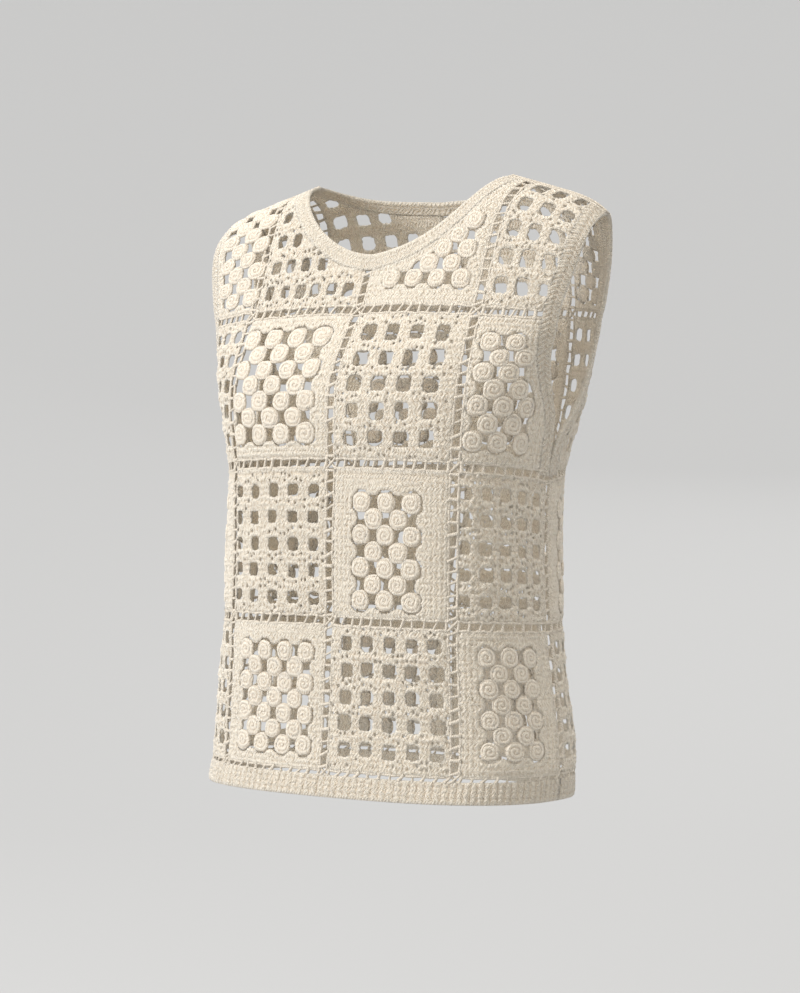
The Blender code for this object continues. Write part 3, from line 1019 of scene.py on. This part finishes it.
def crossings(side):
    # where four squares meet, threads run from corner to corner
    work = []
    share = np.linspace(-1, 1, 7)
    reach = ladder["halfOpen"] + 1.6
    thick = np.full(len(share), ladder["threadThick"] * 0.9)
    for seam in (-1, 0, 1):
        for level in (0, 1, 2, 3):
            for way in (-1, 1):
                wide = np.where(share * way < 0, mmAcross(seam - 0.05), mmAcross(seam + 0.05))
                row = level + share * reach / mmUp(level)
                if level == 0:
                    row = np.maximum(row, -0.02)
                lift = cloth["middle"] + 0.4 + 0.5 * way * (1 - share**2)
                work.append((side, np.stack([seam + way * share * reach / wide, row, lift], axis=1), thick))
    return work


ladderPieces = []
seamNames = {-2: "side_right", -1: "right", 0: "middle", 1: "left", 2: "side_left"}
levelNames = {0: "hem", 1: "waist", 2: "ribs", 3: "chest"}
for side in sides:
    for labels, makeRungs, makeCords in ((seamNames, seamRungs, seamCords),
                                         (levelNames, levelRungs, levelCords)):
        for place, label in labels.items():
            ladderPieces.append(tubes("rungs_" + side + "_" + label, 6, makeRungs(side, place)))
            ladderPieces.append(tubes("cords_" + side + "_" + label, 6, makeCords(side, place)))
    ladderPieces.append(tubes("crossings_" + side, 6, crossings(side)))

# the shoulder seams, cords laid over where front and back meet
shoulderSeam = {"from": 0.83, "to": 1.74, "points": 62, "thick": 1.25,
                "cords": (("front", 3.999, 0.1), ("front", 3.972, -0.4), ("back", 3.972, -0.4))}
for hand, sign in (("left", 1), ("right", -1)):
    count = shoulderSeam["points"]
    across = np.linspace(shoulderSeam["from"], shoulderSeam["to"], count) * sign
    chain = np.abs(np.sin(np.pi * np.arange(count) * ladder["bead"] / ladder["chainEvery"]))
    thick = shoulderSeam["thick"] * (0.85 + 0.3 * chain)
    work = [(side, np.stack([across, np.full(count, row), np.full(count, lift)], axis=1), thick)
            for side, row, lift in shoulderSeam["cords"]]
    ladderPieces.append(tubes("shoulderSeam_" + hand, 8, work))
print("ladders worked")


# cotton: twisted yarn worked in leaning stitches, all sizes in millimetres on the flat
yarnWork = {"rowEvery": 4.8, "lean": 0.62, "driftScale": 0.22, "driftBy": (3.4, 3.4, 0), "loopScale": 0.34,
            "fibreScale": 0.9, "toneScale": 0.045, "rough": 0.80, "roughFibre": 0.14}
yarnHeight = {"plies": 0.70, "between": 0.45, "knots": 0.80}
# how far the colour mixes towards ToneAndShade: painted shade in the grooves between plies, rows and loops
# and in the marked dips, a random tone, less an even amount
yarnShadeAndTone = {"plies": 0.08, "between": 0.05, "loops": 0.16, "tone": 0.14, "hollowShade": 0.42, "less": 0.16}


def cottonGroup():
    group = bpy.data.node_groups.new("crochetCotton", "ShaderNodeTree")
    for way, sockets in (("INPUT", {"Light": "Color", "ToneAndShade": "Color", "Strand": "Float", "Fuzz": "Float"}),
                         ("OUTPUT", {"Color": "Color", "Height": "Float", "Roughness": "Float"})):
        for name, kind in sockets.items():
            group.interface.new_socket(name=name, in_out=way, socket_type="NodeSocket" + kind)
    nodes, links = group.nodes, group.links
    gives, takes = nodes.new("NodeGroupInput"), nodes.new("NodeGroupOutput")

    def node(kind, inputs=None, **values):
        n = nodes.new(kind)
        for key, value in values.items():
            setattr(n, key, value)
        for key, value in (inputs or {}).items():
            if isinstance(value, bpy.types.NodeSocket):
                links.new(value, n.inputs[key])
            else:
                n.inputs[key].default_value = value
        return n

    def maths(operation, *items):
        return node("ShaderNodeMath", dict(enumerate(items)), operation=operation).outputs[0]

    def noise(vector, scale, detail, roughness=0.5):
        values = {"Vector": vector, "Scale": scale, "Detail": detail, "Roughness": roughness}
        return node("ShaderNodeTexNoise", values, noise_dimensions="3D")

    place = node("ShaderNodeAttribute", attribute_name="flatPlace").outputs["Vector"]
    # the painted shade marked on each point
    depth = node("ShaderNodeAttribute", attribute_name="hollowShade").outputs["Fac"]
    # unevenness that carries the strands off their straight lines
    drift = noise(place, yarnWork["driftScale"], 2.0).outputs["Color"]
    pull = {0: drift, 1: yarnWork["driftBy"], 2: place}
    pull = node("ShaderNodeVectorMath", pull, operation="MULTIPLY_ADD").outputs[0]
    parts = node("ShaderNodeSeparateXYZ", {0: pull})
    u, v = parts.outputs[0], parts.outputs[1]
    # rows of stitches that lean one way and then the other
    line = maths("DIVIDE", v, yarnWork["rowEvery"])
    leanV = maths("MULTIPLY", v, yarnWork["lean"])
    strand = maths("DIVIDE", 6.2832, gives.outputs["Strand"])
    ahead, behind = (maths("SINE", maths("MULTIPLY", maths(way, u, leanV), strand))
                     for way in ("ADD", "SUBTRACT"))
    turned = maths("GREATER_THAN", maths("PINGPONG", line, 1.0), 0.5)
    picked = node("ShaderNodeMix", {"Factor": turned, 2: ahead, 3: behind}, data_type="FLOAT")
    plies = maths("MULTIPLY_ADD", picked.outputs[0], 0.5, 0.5)
    between = maths("ABSOLUTE", maths("SINE", maths("MULTIPLY", line, 3.14159)))
    # loops of yarn seen end on, as little cells
    loops = node("ShaderNodeTexVoronoi", {"Vector": pull, "Scale": yarnWork["loopScale"]},
                 voronoi_dimensions="2D", feature="F1").outputs["Distance"]
    knots = maths("SUBTRACT", 1.0, maths("MULTIPLY", loops, 0.9))
    fibre = noise(place, yarnWork["fibreScale"], 4.0, 0.65).outputs[0]
    tone = noise(place, yarnWork["toneScale"], 3.0).outputs[0]
    height = maths("MULTIPLY", plies, yarnHeight["plies"])
    height = maths("MULTIPLY_ADD", between, yarnHeight["between"], height)
    height = maths("MULTIPLY_ADD", knots, yarnHeight["knots"], height)
    links.new(maths("ADD", height, maths("MULTIPLY", fibre, gives.outputs["Fuzz"])), takes.inputs["Height"])
    # painted shade: colour deepens in the grooves between the plies, between the rows and at the edges of the
    # loops, and where the marked dips are; the tone noise adds a random darker tone
    dark = maths("MULTIPLY", maths("SUBTRACT", 1.0, plies), yarnShadeAndTone["plies"])
    dark = maths("MULTIPLY_ADD", maths("SUBTRACT", 1.0, between), yarnShadeAndTone["between"], dark)
    for value, key in ((loops, "loops"), (tone, "tone"), (depth, "hollowShade")):
        dark = maths("MULTIPLY_ADD", value, yarnShadeAndTone[key], dark)
    limit = node("ShaderNodeClamp", {0: maths("SUBTRACT", dark, yarnShadeAndTone["less"])})
    blend = node("ShaderNodeMix", data_type="RGBA")
    for key, value in (("Factor", limit.outputs[0]), (6, gives.outputs["Light"]), (7, gives.outputs["ToneAndShade"])):
        links.new(value, blend.inputs[key])
    links.new(blend.outputs[2], takes.inputs["Color"])
    rough = maths("MULTIPLY_ADD", fibre, yarnWork["roughFibre"], yarnWork["rough"])
    links.new(rough, takes.inputs["Roughness"])
    return group


cotton = cottonGroup()
# ToneAndShade is the darker, warmer colour that the painted shade and the random tone mix towards
finishes = {
    "squareCotton": {"Light": (0.865, 0.787, 0.672, 1), "ToneAndShade": (0.48, 0.36, 0.235, 1),
                     "Strand": 3.1, "Fuzz": 0.9, "depth": 1.6, "through": 0.5},
    "coilCotton": {"Light": (0.855, 0.777, 0.663, 1), "ToneAndShade": (0.46, 0.35, 0.235, 1),
                   "Strand": 2.4, "Fuzz": 0.9, "depth": 0.9, "through": 0.4},
    "bandCotton": {"Light": (0.865, 0.787, 0.672, 1), "ToneAndShade": (0.48, 0.36, 0.235, 1),
                   "Strand": 3.0, "Fuzz": 0.9, "depth": 2.1, "through": 0.5},
    "threadCotton": {"Light": (0.85, 0.773, 0.658, 1), "ToneAndShade": (0.46, 0.35, 0.235, 1),
                     "Strand": 2.0, "Fuzz": 0.8, "depth": 0.9, "through": 0.0},
}
# the same on all of them; thick soft yarn lets some light through
surface = {"Sheen Weight": 0.12, "Sheen Roughness": 0.5, "Specular IOR Level": 0.25,
           "Subsurface Radius": (1.0, 1.0, 1.0), "Subsurface Scale": 4.0 * mm}


def cottonFinish(name):
    values = finishes[name]
    material = bpy.data.materials.new(name)
    material.use_nodes = True
    nodes, links = material.node_tree.nodes, material.node_tree.links
    shader = nodes["Principled BSDF"]
    yarn = nodes.new("ShaderNodeGroup")
    yarn.node_tree = cotton
    for key in ("Light", "ToneAndShade", "Strand", "Fuzz"):
        yarn.inputs[key].default_value = values[key]
    bump = nodes.new("ShaderNodeBump")
    bump.inputs["Strength"].default_value = 1.0
    bump.inputs["Distance"].default_value = values["depth"] * mm
    links.new(yarn.outputs["Height"], bump.inputs["Height"])
    links.new(bump.outputs["Normal"], shader.inputs["Normal"])
    links.new(yarn.outputs["Color"], shader.inputs["Base Color"])
    links.new(yarn.outputs["Roughness"], shader.inputs["Roughness"])
    for key, value in surface.items():
        shader.inputs[key].default_value = value
    shader.inputs["Subsurface Weight"].default_value = values["through"]
    return material


squareCotton, coilCotton, bandCotton, threadCotton = (cottonFinish(name) for name in finishes)
nodeStart = {"neckBand": "neck_band_", "armBand": "arm_band_", "hemBand": "hem_band_"}


def hangsFrom(name):
    side, rowName, reach, hand = name.split("_")
    if rowName != "yoke":
        above = rowNames[rowNames.index(rowName) + 1]
        return ["square_" + "_".join((side, above, reach, hand))]
    if reach == "inner":
        return ["neckBand_" + side]
    return ["armBand_" + side + "_" + hand]


for name, (piece, extra, area) in squarePieces.items():
    side, rowName, reach, hand = name.split("_")
    piece.data.materials.append(squareCotton)
    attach(piece, "root")
    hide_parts(name)
    wide, high = squareWide[reach] * mm, squareHigh[rowName] * mm
    if extra is not None:
        extra.data.materials.append(coilCotton)
        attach(extra, "root")
    # the piece the square hangs from and its cloth area, at least three tenths of its cut, are worked out but
    # not kept; the cloth of a very open square is stated as three tenths of its cut, the least there is
    hangsFrom(name)
    max(area, 0.301 * wide * high)

for name, piece in bandPieces.items():
    piece.data.materials.append(bandCotton)
    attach(piece, "root")
    kind, rest = name.split("_", 1)
    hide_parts(nodeStart[kind] + rest)
    wide, long = bandSize.get(name, bandSize.get(kind))

for piece in ladderPieces:
    piece.data.materials.append(threadCotton)
    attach(piece, "root")
print("cotton on", len(squarePieces) + len(bandPieces), "sheets and", len(ladderPieces), "ladder pieces")


# studio
studio = {"floorDown": 0.42, "bowlRadius": 5.2, "bowlRound": 2.4, "bowlHigh": 5.0, "bowlSpokes": 96,
          "bowlColour": (0.257, 0.26, 0.264, 1), "bowlGlow": (0.99, 0.997, 1.0, 1), "glow": 0.335,
          "airColour": (1.0, 0.945, 0.865, 1), "air": 1.38}


def makeBowl():
    # a plain round studio: a flat floor that turns up into a wall all round
    floorZ = cadLow.z - studio["floorDown"]
    radius, bend, spokes = studio["bowlRadius"], studio["bowlRound"], studio["bowlSpokes"]
    profile = []
    for a in np.linspace(0, np.pi / 2, 14):
        profile.append((radius - bend * (1 - math.sin(a)), bend * (1 - math.cos(a))))
    profile.append((radius, studio["bowlHigh"]))
    points, faces = [(0, 0, floorZ)], []
    for out, up in profile:
        for k in range(spokes):
            angle = 2 * math.pi * k / spokes
            points.append((out * math.cos(angle), out * math.sin(angle), floorZ + up))
    for k in range(spokes):
        faces.append((0, 1 + k, 1 + (k + 1) % spokes))
    for r in range(len(profile) - 1):
        for k in range(spokes):
            a, b = 1 + r * spokes + k, 1 + r * spokes + (k + 1) % spokes
            faces.append((a, a + spokes, b + spokes, b))
    mesh = bpy.data.meshes.new("studioBowl")
    mesh.from_pydata(points, [], faces)
    mesh.shade_smooth()
    paper = bpy.data.materials.new("studioPaper")
    paper.use_nodes = True
    shader = paper.node_tree.nodes["Principled BSDF"]
    shader.inputs["Base Color"].default_value = studio["bowlColour"]
    shader.inputs["Roughness"].default_value = 1.0
    shader.inputs["Specular IOR Level"].default_value = 0.0
    shader.inputs["Emission Color"].default_value = studio["bowlGlow"]
    shader.inputs["Emission Strength"].default_value = studio["glow"]
    mesh.materials.append(paper)
    addToScene("studioBowl", mesh)


makeBowl()
lights = {
    "keyLight": {"at": (-2.1, -2.45, 1.1), "to": (0, 0, -0.22), "size": 1.2, "power": 92,
                 "colour": (0.985, 0.985, 0.985)},
    "fillLight": {"at": (3.2, -1.6, 1.2), "to": (0, 0, -0.3), "size": 2.2, "power": 3,
                  "colour": (1.0, 1.0, 1.0)},
    "topLight": {"at": (0.2, -0.3, 2.9), "to": (0, 0.1, 0), "size": 2.6, "power": 18,
                 "colour": (1.0, 0.99, 0.97)},
    "backLight": {"at": (-1.6, 3.4, 1.3), "to": (0, 0, -0.25), "size": 3.0, "power": 26,
                  "colour": (1.0, 0.985, 0.96)},
}
for name, values in lights.items():
    data = bpy.data.lights.new(name, "AREA")
    data.shape = "DISK"
    data.size = values["size"]
    data.energy = values["power"]
    data.color = values["colour"]
    lamp = addToScene(name, data)
    lamp.location = values["at"]
    lamp.rotation_euler = (Vector(values["to"]) - Vector(values["at"])).to_track_quat("-Z", "Y").to_euler()

world = bpy.data.worlds.new("studioAir")
bpy.context.scene.world = world
world.use_nodes = True
world.node_tree.nodes["Background"].inputs["Color"].default_value = studio["airColour"]
world.node_tree.nodes["Background"].inputs["Strength"].default_value = studio["air"]
bpy.context.scene.view_settings.view_transform = "Standard"

viewFrom = {"turn": 36.5, "at": (1.600, -2.162, -0.213), "lens": 107.74, "shift": (-0.0158, -0.0673)}
cameraData = bpy.data.cameras.new("camera")
cameraData.lens = viewFrom["lens"]
cameraData.sensor_width = 36.0
cameraData.shift_x, cameraData.shift_y = viewFrom["shift"]
camera = addToScene("camera", cameraData)
camera.location = viewFrom["at"]
camera.rotation_euler = (math.pi / 2, 0.0, math.radians(viewFrom["turn"]))
bpy.context.scene.camera = camera

shown = [len(o.data.polygons) for o in bpy.context.scene.objects if o.type == "MESH" and not o.hide_render]
print("triangles in all", sum(shown), "and most in one piece", max(shown))
